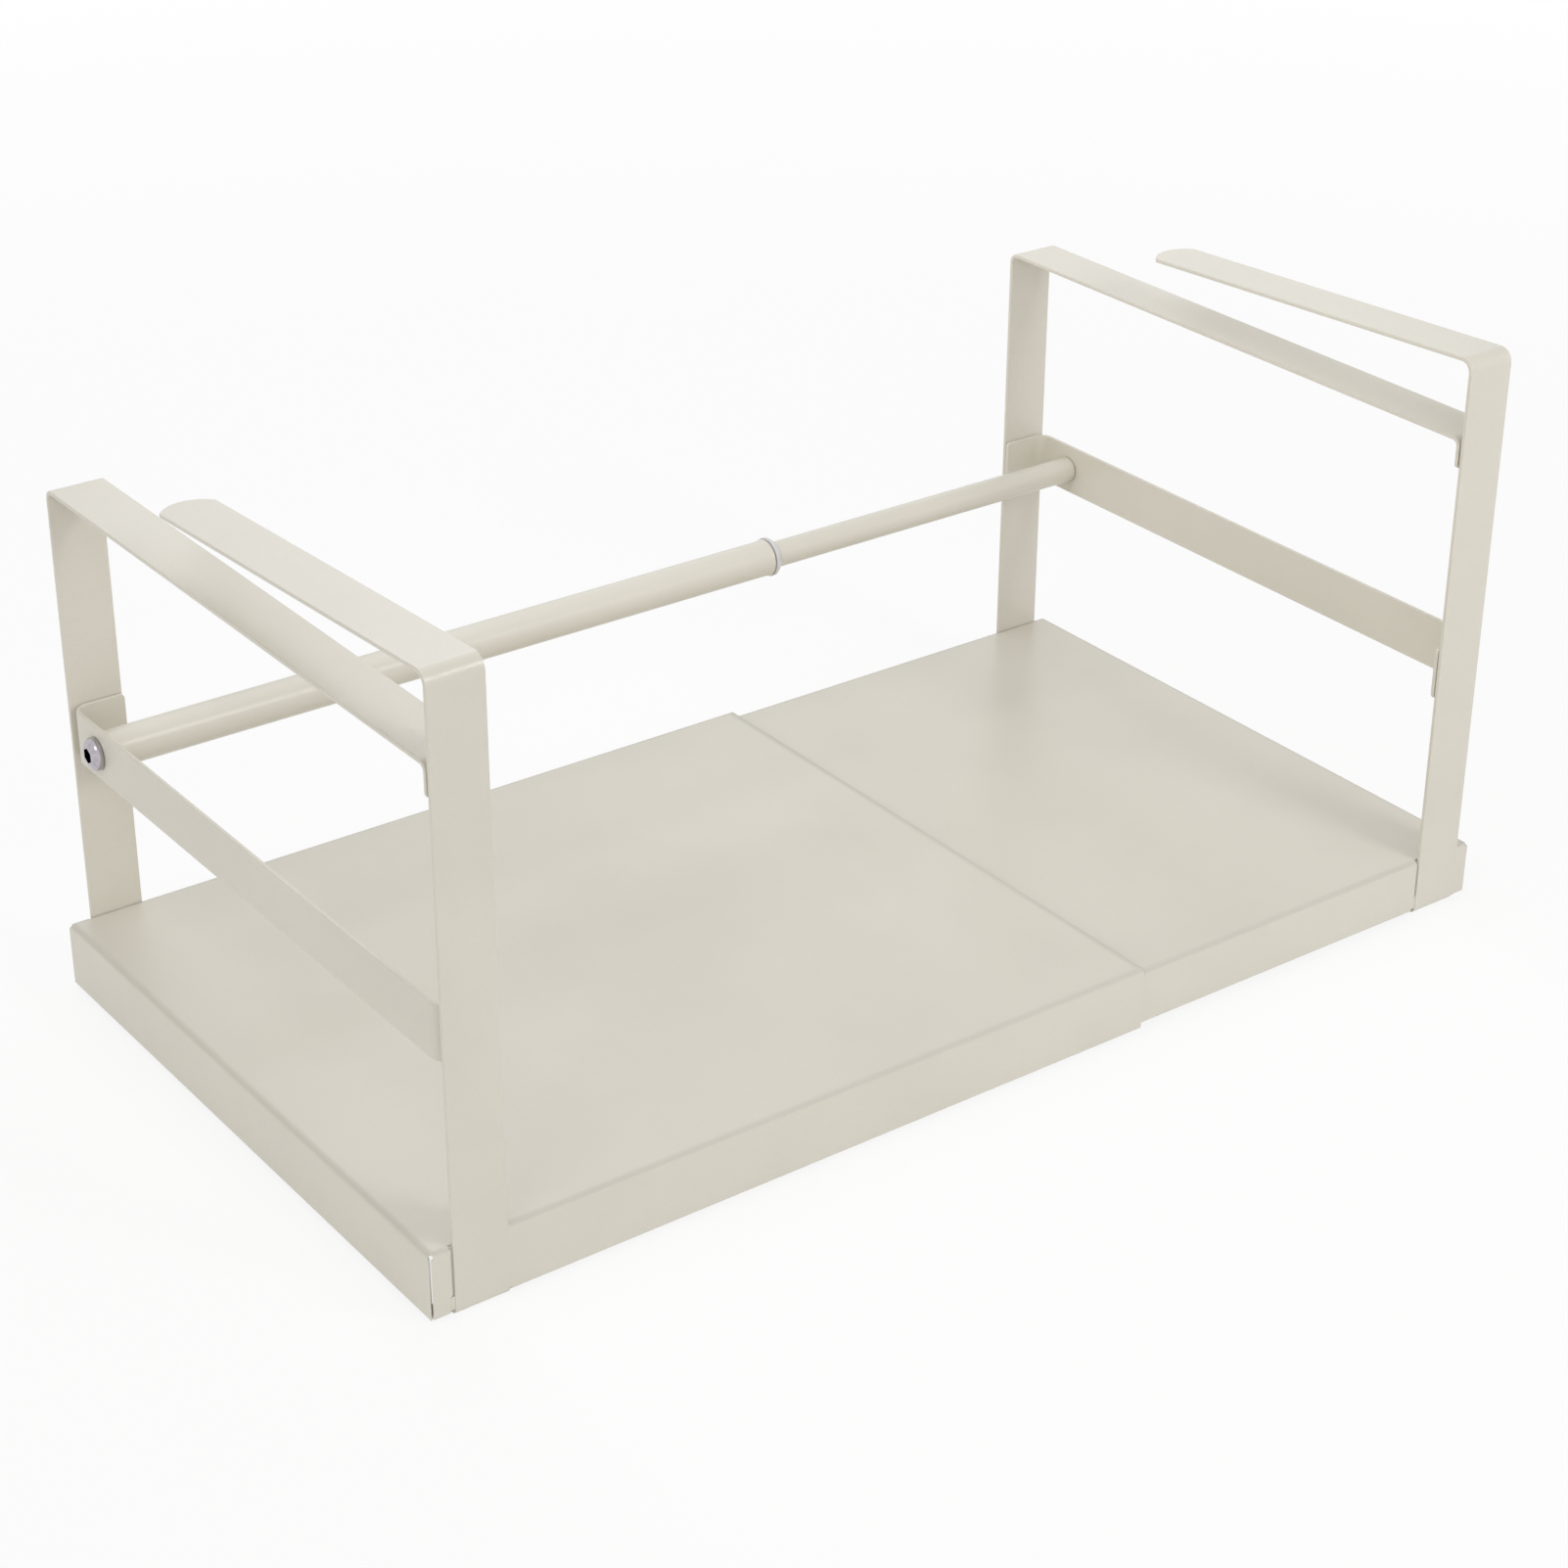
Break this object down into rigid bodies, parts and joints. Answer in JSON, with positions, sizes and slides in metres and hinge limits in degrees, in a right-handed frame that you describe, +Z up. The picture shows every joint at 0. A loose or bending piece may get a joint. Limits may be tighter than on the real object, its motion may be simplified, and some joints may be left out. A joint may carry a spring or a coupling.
{
  "type": "extending under-shelf rack",
  "caption": "Telescopic under-shelf rack: nested sheet-steel trays between bent-strip posts whose prongs grip a shelf board, tied by a sliding rod.",
  "frame": {"origin": "middle of the rack's box as it is set here, on the plane that it stands on", "axes": "+X along the slide towards the inner tray, +Y to the back where the rod is, +Z up towards the prongs"},
  "size_m": [0.455, 0.25, 0.2216],
  "materials": {
    "coated_steel": "semi-gloss cream powder coat",
    "chrome": "polished chrome plating",
    "plug_steel": "plain turned steel",
    "plastic": "light grey moulded plastic"
  },
  "bodies": {
    "left_half": {"left_tray": "coated_steel", "left_front_post": "coated_steel", "left_rear_post": "coated_steel", "left_brace": "coated_steel", "rod_outer_tube": "coated_steel", "rod_collar": "plastic", "left_rod_plug": "plug_steel", "left_rod_screw": "chrome"},
    "right_half": {"right_tray": "coated_steel", "right_front_post": "coated_steel", "right_rear_post": "coated_steel", "right_brace": "coated_steel", "rod_inner_tube": "coated_steel", "rod_glide": "plastic", "right_rod_plug": "plug_steel", "right_rod_screw": "chrome"}
  },
  "joints": [
    {"name": "extend_slide", "type": "slide", "parent": "left_half", "child": "right_half", "axis": [1, 0, 0], "range_m": [-0.137, 0.08]}
  ]
}
